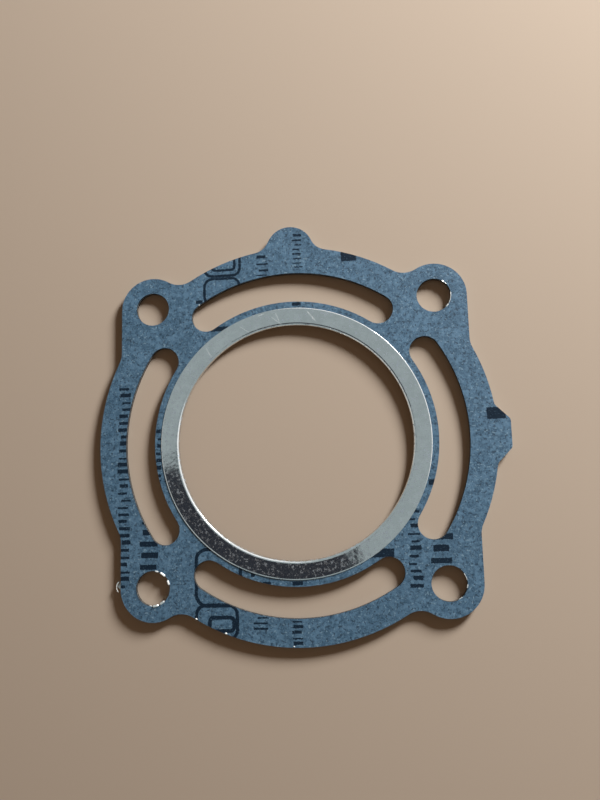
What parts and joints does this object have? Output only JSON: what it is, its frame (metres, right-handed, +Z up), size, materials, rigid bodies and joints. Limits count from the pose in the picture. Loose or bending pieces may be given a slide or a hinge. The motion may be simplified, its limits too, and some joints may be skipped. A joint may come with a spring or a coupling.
{
  "type": "cylinder head gasket",
  "caption": "Laminated head gasket: steel core between fibre facings, folded metal fire ring round the bore, curved coolant slots and stud holes in corner ears.",
  "frame": {"origin": "on the bore axis, in the middle of the gasket's thickness", "axes": "+Z up along the bore axis, +Y towards the round lobe, +X towards the flat tab"},
  "size_m": [0.1104, 0.1131, 0.002],
  "materials": {
    "facing": "matt blue-grey fibre sheet, slightly speckled",
    "core_steel": "bare rolled steel, cut edges",
    "eyelet_metal": "bright rolled sheet metal with fine scratches"
  },
  "bodies": {
    "root": {"lower_facing": "facing", "steel_core": "core_steel", "upper_facing": "facing", "bore_eyelet": "eyelet_metal"}
  },
  "joints": []
}
